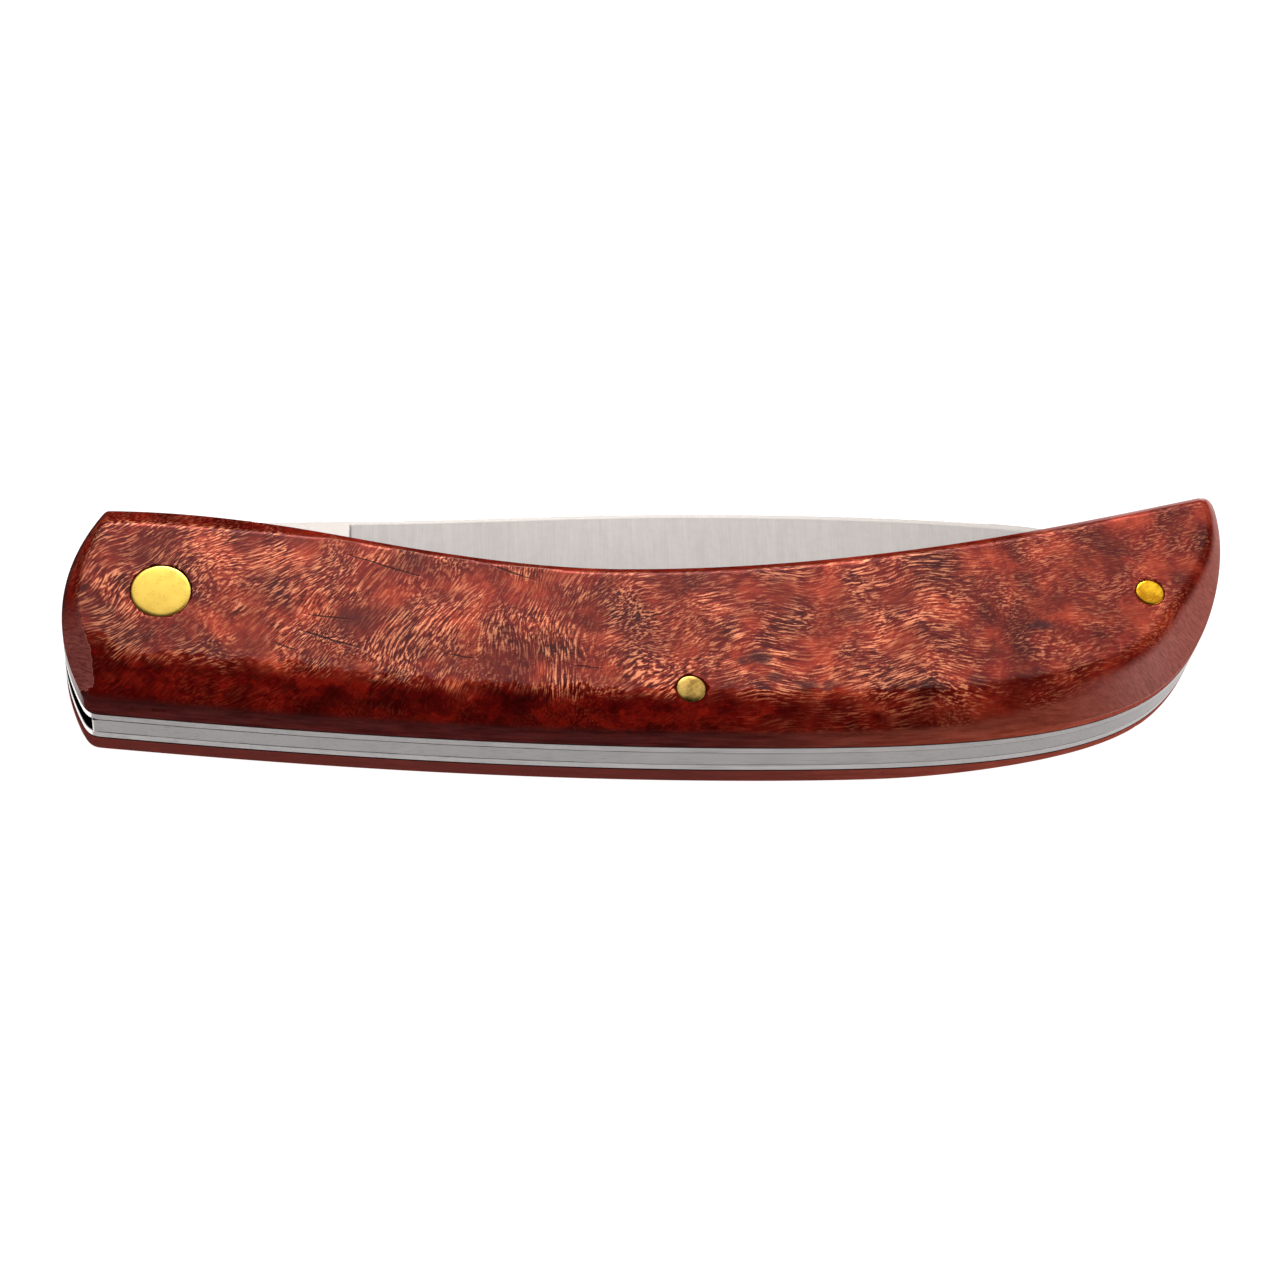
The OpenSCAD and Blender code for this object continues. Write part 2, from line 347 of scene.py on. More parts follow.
class Shader:
    """A material under construction: each method adds nodes and returns the socket to use next."""

    def __init__(self, name):
        self.mat = bpy.data.materials.new(name)
        self.mat.use_nodes = True
        self.tree = self.mat.node_tree
        self.tree.nodes.clear()
        self.out = self.node("ShaderNodeOutputMaterial")
        coords = self.node("ShaderNodeTexCoord")
        self.mm = self.vec("SCALE", coords.outputs["Object"], scale=1 / MM)

    def node(self, kind, props=None, ins=None):
        n = self.tree.nodes.new(kind)
        for key, value in (props or {}).items():
            setattr(n, key, value)
        for key, value in (ins or {}).items():
            self.put(n.inputs[key], value)
        return n

    def put(self, socket, value):
        if isinstance(value, bpy.types.NodeSocket):
            self.tree.links.new(value, socket)
        elif value is not None:
            default = socket.default_value
            if hasattr(default, "__len__") and len(default) == 4 and len(value) == 3:
                value = (*value, 1)
            socket.default_value = value

    def math(self, op, a, b=0.0, c=None):
        n = self.node("ShaderNodeMath", {"operation": op}, {0: a, 1: b})
        if c is not None:
            self.put(n.inputs[2], c)
        return n.outputs[0]

    def vec(self, op, a, b=None, scale=None):
        n = self.node("ShaderNodeVectorMath", {"operation": op}, {0: a})
        if b is not None:
            self.put(n.inputs[1], b)
        if scale is not None:
            self.put(n.inputs["Scale"], scale)
        return n.outputs[0]

    def mapped(self, vector, at=(0, 0, 0), turn=0.0, size=(1, 1, 1)):
        """Coordinates in units of size, about a point, turned by so many degrees."""
        return self.node("ShaderNodeMapping", {"vector_type": "TEXTURE"}, {
            "Vector": vector, "Location": at, "Rotation": (0, 0, math.radians(turn)),
            "Scale": size}).outputs[0]

    def noise(self, vector, scale=1.0, detail=2.0, rough=0.5, distortion=0.0, colour=False):
        n = self.node("ShaderNodeTexNoise", None, {
            "Vector": vector, "Scale": scale, "Detail": detail, "Roughness": rough,
            "Distortion": distortion})
        return n.outputs["Color" if colour else "Fac"]

    def shake(self, vector, scale, detail, rough, size):
        """An offset that wanders by up to half of size in every direction."""
        return self.vec("SCALE", self.vec("SUBTRACT", self.noise(vector, scale, detail, rough, colour=True),
                                          (0.5, 0.5, 0.5)), scale=size)

    def ramp(self, value, stops):
        n = self.node("ShaderNodeValToRGB", None, {"Fac": value})
        elements = n.color_ramp.elements
        while len(elements) < len(stops):
            elements.new(0.5)
        for e, (pos, colour) in zip(elements, stops):
            e.position = pos
            e.color = (*colour, 1) if hasattr(colour, "__len__") else (colour, colour, colour, 1)
        return n.outputs["Color"]

    def span(self, value, a, b, lo=0.0, hi=1.0):
        """lo where value is a, hi where it is b, and a smooth step between them."""
        return self.node("ShaderNodeMapRange", {"interpolation_type": "SMOOTHSTEP", "clamp": True}, {
            "Value": value, "From Min": a, "From Max": b, "To Min": lo, "To Max": hi}).outputs[0]

    def mix(self, factor, a, b, mode="MIX"):
        n = self.node("ShaderNodeMix", {"data_type": "RGBA", "blend_type": mode, "clamp_factor": True})
        self.put(n.inputs[0], factor)
        self.put(n.inputs[6], a)
        self.put(n.inputs[7], b)
        return n.outputs[2]

    def spot(self, vector, at, size, turn=0.0, soft=1.0):
        """1 at the middle of an ellipse, 0 outside it."""
        g = self.node("ShaderNodeTexGradient", {"gradient_type": "SPHERICAL"},
                      {"Vector": self.mapped(vector, (*at, 0), turn, (*size, 60))})
        return self.span(g.outputs["Fac"], 0.0, soft)

    def attribute(self, name):
        return self.node("ShaderNodeAttribute", {"attribute_name": name}).outputs["Fac"]

    def bump(self, height, strength, depth_mm):
        return self.node("ShaderNodeBump", None, {
            "Height": height, "Strength": strength, "Distance": depth_mm * MM}).outputs[0]

    def finish(self, **ins):
        names = {"colour": "Base Color", "metal": "Metallic", "rough": "Roughness", "normal": "Normal",
                 "specular": "Specular IOR Level"}
        b = self.node("ShaderNodeBsdfPrincipled", None, {names[k]: v for k, v in ins.items()})
        self.tree.links.new(b.outputs[0], self.out.inputs["Surface"])
        return self.mat


def wear(obj, mat):
    """Gives obj this material alone."""
    obj.data.materials.clear()
    obj.data.materials.append(mat)


# ---------------------------------------------------------------- materials


def wood_material(name, shift, wall_painted_light, end_gloss):
    """Lacquered burl; shift moves its figure, wall_painted_light paints a lighter colour onto its side
    walls as painted light, and end_gloss brightens the wall of the pivot end with gloss.
    """
    s = Shader(name)
    p = s.vec("ADD", s.mm, shift)
    q = s.vec("ADD", p, s.shake(p, 0.085, 1, 0.5, 6.0))
    qx = s.node("ShaderNodeSeparateXYZ", None, {0: q}).outputs[0]
    drop, wall, facet = s.attribute("drop"), s.attribute("wall"), s.attribute("facet")

    def strokes(turn, length, width, seed):
        vector = s.mapped(s.vec("ADD", q, (seed, seed * 0.7, 0)), turn=turn, size=(length, width, width))
        return s.noise(vector, 1.0, 2.0, 0.5, 0.1)

    # the figure's direction swings round along the handle
    grain = strokes(38, 1.5, 0.17, 3.0)
    for turn, length, width, seed, start, end in (
            (58, 1.6, 0.17, 17.0, -34.0, -28.0), (78, 1.6, 0.17, 23.0, -22.0, -15.0),
            (28, 1.3, 0.18, 29.0, -10.0, -5.0), (4, 1.9, 0.18, 31.0, 1.0, 6.0),
            (12, 0.9, 0.15, 47.0, 26.0, 42.0)):
        grain = s.mix(s.span(qx, start, end), grain, strokes(turn, length, width, seed))
    fine = s.noise(s.mapped(q, turn=30, size=(0.5, 0.12, 0.2)), 1.0, 2, 0.6)
    grain = s.math("MULTIPLY_ADD", s.math("SUBTRACT", fine, 0.5), 0.35, grain)

    def worst(vector, spots, soft):
        """The strongest of several soft-edged ellipses: place, size, turn, strength."""
        found = None
        for at, size, turn, strength in spots:
            m = s.math("MULTIPLY", s.spot(vector, at, size, turn, soft), strength)
            found = m if found is None else s.math("MAXIMUM", found, m)
        return found

    jitter = s.shake(p, 0.55, 3, 0.6, 3.2)
    e = s.vec("ADD", p, jitter)
    # quiet, darker patches
    quiet = worst(e, (
        ((-31.5, -1.4), (6.5, 2.4), 15, 0.9), ((-26.0, 4.8), (5.0, 1.7), 40, 0.8),
        ((-42.0, -5.0), (5.5, 2.4), 10, 0.7), ((-45.0, 3.0), (3.6, 2.2), 0, 0.6),
        ((-35.5, 7.6), (6.0, 2.0), -12, 0.55), ((-20.0, -6.8), (4.5, 2.2), 10, 0.6),
        ((-10.5, 1.2), (4.0, 3.0), 0, 0.6), ((-4.5, -4.0), (4.5, 3.2), 0, 0.5),
        ((3.0, 2.5), (4.5, 2.2), 0, 0.6), ((12.5, 1.6), (3.6, 2.2), 0, 0.5),
        ((24.5, 0.6), (4.0, 2.8), 0, 0.8), ((31.0, -2.8), (3.6, 2.8), 0, 0.8),
        ((19.0, -2.2), (3.4, 2.4), 0, 0.5), ((48.0, 6.5), (6.0, 3.4), 10, 0.5),
        ((41.0, -6.5), (5.0, 2.4), 10, 0.4)), 0.9)
    patch = s.noise(p, 0.16, 3, 0.6)
    lively = s.math("MULTIPLY", s.span(patch, 0.40, 0.58, 0.25, 1.0), s.span(qx, 20.0, 54.0, 1.0, 0.45))
    lively = s.math("MULTIPLY", lively, s.math("SUBTRACT", 1.0, s.math("MULTIPLY", quiet, 0.75)))
    px, py, _ = s.node("ShaderNodeSeparateXYZ", None, {0: s.mm}).outputs
    # painted shade: the deep red band along the back and over its rounding, weaker towards the tail
    ragged = s.math("MULTIPLY", s.math("SUBTRACT", s.noise(p, 0.4, 3, 0.6), 0.5), 3.6)
    reach = s.math("ADD", s.attribute("inward"), ragged)
    reach = s.math("ADD", reach, s.span(px, -48.0, -15.0, 0.0, 1.0))
    painted_back_shade = s.math("MULTIPLY", s.span(reach, 5.8, 3.4), s.span(px, 4.0, 30.0, 1.0, 0.3))
    painted_back_shade = s.math("MAXIMUM", painted_back_shade, s.span(drop, 0.03, 0.5, 0.0, 0.7))
    lively = s.math("MULTIPLY", lively, s.span(painted_back_shade, 0.0, 1.0, 1.0, 0.5))
    broad = s.noise(s.vec("ADD", q, (90, 12, 0)), 0.22, 4, 0.62)
    base = s.ramp(broad, [(0.32, (0.09, 0.004, 0.003)), (0.48, (0.20, 0.014, 0.008)),
                          (0.62, (0.37, 0.042, 0.019))])
    base = s.mix(s.math("MULTIPLY", quiet, 0.7), base, (0.13, 0.014, 0.010))
    lights = s.math("MULTIPLY", s.span(grain, 0.5, 0.63), lively)
    darks = s.math("MULTIPLY", s.span(grain, 0.49, 0.37), lively)
    colour = s.mix(s.math("MULTIPLY", lights, 0.88), base, (0.86, 0.30, 0.145))
    colour = s.mix(s.math("MULTIPLY", darks, 0.88), colour, (0.035, 0.002, 0.002))
    furrow = s.span(s.math("ABSOLUTE", s.math("SUBTRACT", grain, 0.56)), 0.0, 0.022, 0.6, 0.0)
    colour = s.mix(s.math("MULTIPLY", furrow, lively), colour, (0.10, 0.010, 0.007))
    # small dark eyes, and painted shade: the dark row along the top of the rounding
    near = s.vec("ADD", p, s.vec("SCALE", jitter, scale=0.35))
    eyes_and_shade_row = worst(near, (
        ((9.2, -6.1), (2.3, 1.3), 0, 0.95), ((7.6, -6.5), (1.2, 0.8), 0, 0.8),
        ((10.6, -8.4), (1.6, 1.0), 0, 0.8), ((10.8, -12.2), (3.2, 1.3), 10, 0.85),
        ((13.8, -9.6), (2.0, 1.3), 0, 0.8), ((16.0, -9.4), (1.3, 0.8), 0, 0.6),
        ((20.5, -12.8), (1.5, 0.9), 0, 1.0), ((26.4, -9.9), (2.6, 1.7), 10, 0.75),
        ((26.6, -9.9), (0.9, 0.6), 0, 1.0), ((31.3, -9.0), (1.4, 1.6), 0, 0.55),
        ((38.8, -2.3), (2.4, 0.9), 0, 0.8), ((19.4, -1.2), (2.6, 1.6), 0, 0.45),
        ((-6.0, -11.8), (2.8, 1.1), 0, 0.8), ((-1.0, -12.2), (2.6, 1.1), 0, 0.85),
        ((-15.5, -11.4), (5.0, 1.2), 0, 0.7), ((-27.0, -10.6), (6.0, 1.4), 0, 0.75),
        ((-35.5, -9.6), (6.0, 1.6), -8, 0.65), ((-52.0, -7.6), (4.5, 1.9), 0, 0.7),
        ((36.0, -8.9), (5.0, 1.6), 15, 0.6), ((18.0, -11.4), (4.5, 1.1), 0, 0.4)), 0.8)
    colour = s.mix(eyes_and_shade_row, colour, (0.055, 0.003, 0.003))
    shade = s.span(s.noise(s.vec("ADD", q, (40, 70, 0)), 0.15, 3, 0.55), 0.36, 0.64, 0.70, 1.12)
    colour = s.vec("SCALE", colour, scale=shade)
    # thin open cracks
    thin = s.vec("ADD", p, s.shake(p, 0.8, 2, 0.5, 0.35))
    lines = (((-37.9, -2.6), (-29.6, -5.5), 0.17), ((-33.2, 6.4), (-23.1, 2.8), 0.13),
             ((-36.8, -1.0), (-31.2, -1.8), 0.12), ((-18.3, 5.1), (-12.4, 2.6), 0.13),
             ((-10.4, -7.0), (-6.2, -7.5), 0.12), ((-39.7, -4.2), (-36.6, -5.6), 0.12),
             ((-22.9, -5.5), (-18.9, -6.4), 0.11))
    spots = []
    for a, b, w in lines:
        a, b = np.array(a), np.array(b)
        spots.append((tuple((a + b) / 2), (np.linalg.norm(b - a) / 2, w),
                      math.degrees(math.atan2(*(b - a)[::-1])), 1.0))
    cracks = worst(thin, spots, 0.5)
    colour = s.mix(s.math("MULTIPLY", cracks, 0.85), colour, (0.03, 0.003, 0.002))
    # painted shade: deep red on the rounding; painted light and painted reflection: browner, duller walls,
    # dark at the pivot end and lighter towards the tail, and a greyer painted sheen on the facet and on the
    # slant at the tail
    dull = s.noise(s.mapped(p, size=(4.0, 0.5, 0.5)), 1.0, 3, 0.6)
    mottle = s.noise(s.mapped(e, size=(1.6, 1.0, 1.0)), 0.5, 4, 0.65)
    # painted shade: deep, mottled red for the band over the rounding
    tinted = s.mix(1.0, colour, (0.42, 0.07, 0.05), "MULTIPLY")
    reds = s.ramp(mottle, [(0.36, (0.03, 0.002, 0.002)), (0.5, (0.12, 0.003, 0.003)),
                           (0.64, (0.34, 0.012, 0.006))])
    colour = s.mix(s.math("MULTIPLY", painted_back_shade, s.span(px, 10.0, 40.0, 0.92, 0.6)), colour,
                   s.mix(0.55, tinted, reds))
    # painted shade on the walls at the pivot end, painted light on the walls at the tail
    shaded_pivot_walls = s.ramp(dull, [(0.3, (0.028, 0.006, 0.006)), (0.7, (0.085, 0.020, 0.018))])
    lit_tail_walls = s.ramp(dull, [(0.3, (0.20, 0.032, 0.018)), (0.7, (0.38, 0.085, 0.050))])
    walls = s.mix(s.span(px, 0.0, 45.0), shaded_pivot_walls, lit_tail_walls)
    # painted light: a lighter brown mixed into the walls
    walls = s.mix(wall_painted_light, walls, (0.24, 0.055, 0.042))
    low = s.span(s.math("ADD", drop, s.math("MULTIPLY", wall, 2.0)), 0.95, 1.6)
    colour = s.mix(s.math("MULTIPLY", low, 0.85), colour, walls)
    # streaky painted sheen for the slant at the tail and the lower part of the facet
    streaks_and_sheen = s.noise(s.mapped(p, turn=60, size=(0.14, 1.6, 0.5)), 1.0, 3, 0.6)
    slant = s.math("MULTIPLY", s.span(px, 38.0, 50.0), s.span(drop, 0.35, 1.0))
    colour = s.mix(s.math("MULTIPLY", slant, 0.9), colour,
                   s.ramp(streaks_and_sheen, [(0.35, (0.22, 0.036, 0.024)), (0.65, (0.40, 0.09, 0.062))]))
    # painted reflection: greyer colour on the lower part of the pivot facet
    end = s.ramp(streaks_and_sheen, [(0.35, (0.16, 0.032, 0.027)), (0.65, (0.32, 0.085, 0.072))])
    lower = s.span(py, 2.0, -4.0, 0.0, 0.95)
    colour = s.mix(s.math("MULTIPLY", facet, lower), colour, end)
    # painted highlight: a thin light line along the edge of the facet, on its lower part
    painted_rim_highlight = s.math("MULTIPLY", s.span(facet, 0.1, 0.5), s.span(facet, 0.9, 0.5))
    colour = s.mix(s.math("MULTIPLY", painted_rim_highlight, s.math("MULTIPLY", lower, 0.5)), colour, (0.50, 0.22, 0.18))
    colour = s.mix(s.math("MULTIPLY", s.attribute("seam"), 0.95), colour, (0.004, 0.002, 0.002))
    height = s.math("MULTIPLY_ADD", grain, lively, s.math("MULTIPLY", s.noise(p, 5.0, 3, 0.6), 0.2))
    height = s.math("SUBTRACT", height, cracks)
    sheen = s.math("MULTIPLY", s.span(s.math("ADD", drop, painted_back_shade), 0.0, 0.5, 0.32, 0.0),
                   s.span(eyes_and_shade_row, 0.0, 0.7, 1.0, 0.2))
    # gloss on the flat of the face, the slant at the tail and the wall of the pivot end
    face_gloss = s.span(s.math("ADD", drop, s.math("ADD", wall, painted_back_shade)), 0.0, 0.1, 0.18, 0.0)
    slant_gloss = s.math("MULTIPLY", slant, s.span(wall, 0.0, 0.5, 0.25, 0.0))
    wall_gloss = s.math("MULTIPLY", wall, s.span(px, -57.7, -58.8, 0.0, end_gloss))
    return s.finish(colour=colour, metal=sheen, rough=s.span(broad, 0.3, 0.7, 0.4, 0.3),
                    specular=s.math("ADD", face_gloss, s.math("ADD", slant_gloss, wall_gloss)),
                    normal=s.bump(height, 0.7, 0.05))


def steel_material(name, light, dark, rough, seed, joint, joint_dark, end_x):
    """Steel with fine lengthwise lines, a dark joint at one level, a painted highlight on the side faces
    beyond end_x, and painted shade on the flat faces at the pivot end.
    """
    s = Shader(name)
    p = s.vec("ADD", s.mm, (seed, seed, seed))
    lines = s.noise(s.mapped(p, size=(14.0, 0.12, 0.12)), 1.0, 4, 0.6)
    blotch = s.noise(p, 0.3, 3, 0.55)
    t = s.math("MULTIPLY_ADD", s.math("SUBTRACT", blotch, 0.5), 0.4, lines)
    colour = s.mix(s.span(t, 0.2, 0.8), dark, light)
    finer = s.mapped(s.vec("ADD", p, (5, 9, 2)), size=(8.4, 0.072, 0.072))
    scratch = s.span(s.noise(finer, 1.0, 1, 0.5), 0.64, 0.7)
    colour = s.mix(s.math("MULTIPLY", scratch, 0.55), colour, tuple(c * 0.35 for c in dark))
    x, _, z = s.node("ShaderNodeSeparateXYZ", None, {0: s.mm}).outputs
    broken = s.span(s.noise(s.mapped(p, size=(5.0, 9.0, 9.0)), 1.0, 3, 0.6), 0.42, 0.56, *joint_dark)
    gap = s.span(s.math("ABSOLUTE", s.math("SUBTRACT", z, joint)), 0.03, 0.1, 1.0, 0.0)
    gap = s.math("MULTIPLY", gap, s.span(x, -45.0, 30.0, 1.0, 0.45))
    colour = s.mix(s.math("MULTIPLY", gap, broken), colour, (0.012, 0.010, 0.010))
    side = s.attribute("side")
    # painted highlight: the side faces beyond end_x are painted near white
    colour = s.mix(s.math("MULTIPLY", side, s.span(x, end_x, end_x - 0.25)), colour, (0.95, 0.92, 0.90))
    # painted shade: the flat faces at the pivot end, inside the slot between the liners, are painted near
    # black
    inner = s.math("MULTIPLY", s.math("SUBTRACT", 1.0, side), s.span(x, -53.0, -55.0))
    colour = s.mix(inner, colour, (0.004, 0.003, 0.003))
    return s.finish(colour=colour, metal=1.0, rough=s.span(lines, 0.3, 0.7, rough - 0.06, rough + 0.08),
                    normal=s.bump(lines, 0.15, 0.02))


def blade_material():
    s = Shader("blade_steel")
    ground = s.attribute("ground")
    p = s.mm
    fine = s.noise(s.mapped(p, turn=-2, size=(0.10, 6.0, 1.0)), 1.0, 4, 0.65)
    wide = s.noise(s.mapped(p, turn=-1, size=(0.9, 9.0, 2.0)), 1.0, 3, 0.6)
    mottle = s.noise(p, 1.1, 4, 0.65)
    t = s.math("ADD", s.math("MULTIPLY", fine, 0.45), s.math("ADD", s.math("MULTIPLY", wide, 0.3),
                                                            s.math("MULTIPLY", mottle, 0.25)))
    satin = s.mix(s.span(t, 0.34, 0.66), (0.345, 0.318, 0.304), (0.405, 0.375, 0.36))
    plain = s.mix(s.span(mottle, 0.3, 0.7), (0.437, 0.402, 0.377), (0.457, 0.422, 0.397))
    colour = s.mix(ground, plain, satin)
    x = s.node("ShaderNodeSeparateXYZ", None, {0: s.mm}).outputs[0]
    # painted shade: a dark line down the plunge, below the unground strip
    plunge = s.span(s.math("ABSOLUTE", s.math("SUBTRACT", x, PLUNGE_X - 0.3)), 0.05, 0.16, 0.72, 0.0)
    below = s.attribute("below")
    colour = s.mix(s.math("MULTIPLY", plunge, below), colour, (0.10, 0.092, 0.088))
    # painted shade: the tang's end inside the slot is painted near black
    colour = s.mix(s.span(x, -54.5, -56.5), colour, (0.002, 0.0015, 0.0015))
    height = s.math("MULTIPLY", fine, ground)
    return s.finish(colour=colour, metal=1.0, rough=s.span(ground, 0.0, 1.0, 0.27, 0.38),
                    normal=s.bump(height, 0.25, 0.01))


def brass_material(name, light, dark, rough, seed, marked):
    s = Shader(name)
    p = s.vec("ADD", s.mm, (seed, seed * 2, 0))
    cloud = s.noise(p, 0.8, 4, 0.6)
    marks = s.noise(s.mapped(p, turn=35, size=(2.0, 0.12, 0.5)), 1.0, 3, 0.6)
    t = s.math("MULTIPLY_ADD", s.math("SUBTRACT", marks, 0.5), 0.5, cloud)
    colour = s.mix(s.span(t, 0.3, 0.7), dark, light)
    return s.finish(colour=colour, metal=1.0, rough=s.span(cloud, 0.3, 0.7, rough, rough + 0.1),
                    normal=s.bump(marks, marked, 0.02))


def spacer_material():
    s = Shader("black_spacer")
    grains = s.noise(s.mm, 6.0, 3, 0.6)
    colour = s.mix(grains, (0.004, 0.003, 0.003), (0.02, 0.014, 0.012))
    return s.finish(colour=colour, rough=s.span(grains, 0.3, 0.7, 0.6, 0.85), specular=0.3,
                    normal=s.bump(grains, 0.3, 0.03))


# ---------------------------------------------------------------- build: scales, spacers, liners

front = scale_mesh("front_scale_wood", FRONT_SPACER[1], 1)
rear = scale_mesh("rear_scale_wood", REAR_SPACER[0], -1)
for obj, node, shift, wall_painted_light, end_gloss in ((front, "front_scale", (0, 0, 0), 0.0, 0.8),
                                                (rear, "rear_scale", (0, 60, 20), 0.45, 0.0)):
    wear(obj, wood_material("burl_wood_" + node, shift, wall_painted_light, end_gloss))
    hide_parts(node)

ring = outline_ring()
rx = ring[:, 0]
spacer_mat = spacer_material()
for name, node, (low, high), seed in (("front_spacer_sheet", "front_spacer", FRONT_SPACER, 5),
                                      ("rear_spacer_sheet", "rear_spacer", REAR_SPACER, 6)):
    obj = plate(name, ring, low, high, 0.12 + 0.08 * wander(rx, seed), 0.0, 0.0)
    wear(obj, spacer_mat)
    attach(obj, "handle")
    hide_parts(node)


def groove(x, seed, left, right):
    """Width of the broken edge beside a joint, fading from left to right."""
    return lerp(left, right, smooth(x, -50, 25)) * (0.35 + 0.95 * wander(x, seed))


front_liner = plate("front_liner_plate", ring, *FRONT_LINER, 0.0, groove(rx, 1, 0.11, 0.02), 0.02)
rear_liner = plate("rear_liner_plate", ring, *REAR_LINER, 0.0, 0.02, groove(rx, 2, 0.12, 0.07))
wear(front_liner, steel_material("liner_steel_front", (0.38, 0.36, 0.355), (0.26, 0.245, 0.24), 0.3, 3.0,
                                FRONT_LINER[0], (0.7, 0.95), -57.0))
wear(rear_liner, steel_material("liner_steel_rear", (0.44, 0.42, 0.415), (0.29, 0.28, 0.275), 0.28, 11.0,
                               REAR_LINER[1], (0.15, 0.7), -57.0))
for obj, node in ((front_liner, "front_liner"), (rear_liner, "rear_liner")):
    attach(obj, "handle")
    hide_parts(node)

# ---------------------------------------------------------------- back spring, one leaf

ARM_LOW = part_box("back_spring_arm")[0] / MM
INNER_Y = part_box("back_spring_arm")[1].y / MM
TAIL_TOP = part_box("back_spring")[1].y / MM


def spring_ring():
    t = np.linspace(0, 1, 71)
    outer = np.concatenate([bez(BACK_LEFT, t)[:-1], bez(BACK_RIGHT, t)[:-1], bez(TAIL_CURVE, t)])
    outer = outer[(outer[:, 0] > ARM_LOW.x + 0.05) & (outer[:, 1] < TAIL_TOP)]
    corner = np.array([[ARM_LOW.x, np.interp(ARM_LOW.x, outer[:9, 0], outer[:9, 1])]])
    inner = bez([[14, 0], [36, 0], [47.4, 3.4], [48.0, 10.0]], np.linspace(1, 0, 40)) + (0, INNER_Y)
    straight = np.linspace(14, ARM_LOW.x, 60)[1:]
    inner = np.concatenate([inner, np.column_stack([straight, np.full(len(straight), INNER_Y)])])
    end_x = np.interp(TAIL_TOP, bez(TAIL_CURVE, t)[:, 1], bez(TAIL_CURVE, t)[:, 0])
    block = np.array([[end_x, TAIL_TOP], [54.0, TAIL_TOP], [49.2, TAIL_TOP]])
    return np.concatenate([corner, outer, block, inner])


leaf = spring_ring()
lx = leaf[:, 0]
spring = plate("back_spring_leaf", leaf, SLOT[0] + SPRING_GAP, SLOT[1] - SPRING_GAP, SPRING_GAP,
               groove(lx, 3, 0.09, 0.05), groove(lx, 4, 0.10, 0.02))
wear(spring, steel_material("spring_steel", (0.325, 0.308, 0.302), (0.25, 0.238, 0.234), 0.34, 23.0,
                            FRONT_LINER[0], (0.7, 0.95), ARM_LOW.x + 0.22))
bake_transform(spring)
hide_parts("back_spring", "back_spring_arm")

# ---------------------------------------------------------------- blade

BLADE_T = levels("blade")[1] - levels("blade")[0]
SHOULDER_X, PLUNGE_X, EDGE_Y, STRIP = PIVOT[0] + 6.75, -31.0, -5.3, 0.6
TANG_R, EDGE_T = 7.5, 0.3
FLAT_END = PIVOT[0] + 9.2           # where the tang's lower flat gives way to the edge
NICK_DEPTH, NICK_R, NICK_H, NICK_AT = 0.45, 55.0, 1.6, (8.0, 12.3)
SPINE_BEVEL = 0.07
TIP = np.array([48.0, 10.2])
SPINE = np.concatenate([bez(c, np.linspace(0, 1, 60)) for c in (
    [[-31, 13.6], [-18, 13.8], [-7, 14.75], [7, 14.75]],
    [[7, 14.75], [19, 14.75], [30, 14.45], [40, 13.45]],
    [[40, 13.45], [43.4, 13.11], [46.3, 12.1], [48, 10.2]])])
BELLY = bez([[16, -5.3], [34, -5.3], [46, 3.2], [48, 10.2]], np.linspace(0, 1, 200))


def tang_half_height(x):
    """A round end about the pivot, then flats."""
    round_end = np.sqrt(np.clip(TANG_R ** 2 - (x - PIVOT[0]) ** 2, 0, None))
    return np.where(x < PIVOT[0], round_end, TANG_R)


def blade_top(x):
    tang = PIVOT[1] + tang_half_height(x)
    shoulder = lerp(13.4, 13.6, (x - SHOULDER_X) / (PLUNGE_X - SHOULDER_X))
    corner = 0.35 * np.clip(1 - (x - SHOULDER_X) / 0.5, 0, 1) ** 2
    return np.where(x < SHOULDER_X, tang, np.where(x < PLUNGE_X, shoulder - corner,
                                                   np.interp(x, SPINE[:, 0], SPINE[:, 1])))


def blade_bottom(x):
    tang = PIVOT[1] - tang_half_height(x)
    kick = smooth(x, FLAT_END, FLAT_END + 1)
    return np.where(x < 16, lerp(tang, EDGE_Y, kick), np.interp(x, BELLY[:, 0], BELLY[:, 1]))


def half_thickness(x, y, top, bottom):
    """Half thickness of the blade, then from 0 to 1 how far each point lies in its ground part and
    how far below the unground strip."""
    share = np.clip((x - PLUNGE_X) / (TIP[0] - PLUNGE_X), 0, 1)
    full = BLADE_T / 2 * (1 - 0.45 * share ** 2.5)
    full = full * np.sqrt(np.clip((TIP[0] - x) / 2.5, 0.0, 1))
    strip = np.minimum(STRIP, 0.3 * (top - bottom))
    edge = np.minimum(0.5, 0.2 * (top - bottom))
    down = np.clip((top - strip - y) / np.maximum(top - strip - bottom - edge, 0.02), 0, 1)
    flat_ground = lerp(full, np.minimum(full, EDGE_T / 2), down)
    # the plunge line leans forward where it meets the unground strip
    depth = np.clip(top - strip - y, 0, None)
    line = PLUNGE_X - 0.45 + 0.45 * np.exp(-depth / 0.3)
    cutin = smooth(x, line - 0.04, line + 0.12)
    half = lerp(full, flat_ground, cutin)
    close = np.clip((y - bottom) / 0.5, 0, 1)
    half = np.where(x > FLAT_END + 1.1, half * np.minimum(1, 0.04 + close), half)
    below = smooth(depth, 0.0, 0.08)
    return np.maximum(half, THINNEST), cutin * below, below


def nick_cutter(segments=240):
    """A disc on edge whose rim dips into the rear face of the blade."""
    a = np.linspace(0, 2 * math.pi, segments, endpoint=False)
    middle_z = levels("blade")[0] + NICK_DEPTH - NICK_R
    verts = [(NICK_AT[0] + NICK_R * math.sin(t), y, middle_z + NICK_R * math.cos(t))
             for y in (NICK_AT[1] - NICK_H / 2, NICK_AT[1] + NICK_H / 2) for t in a]
    return make("cutter", verts, loft(segments, 2) + lids(segments, 2))


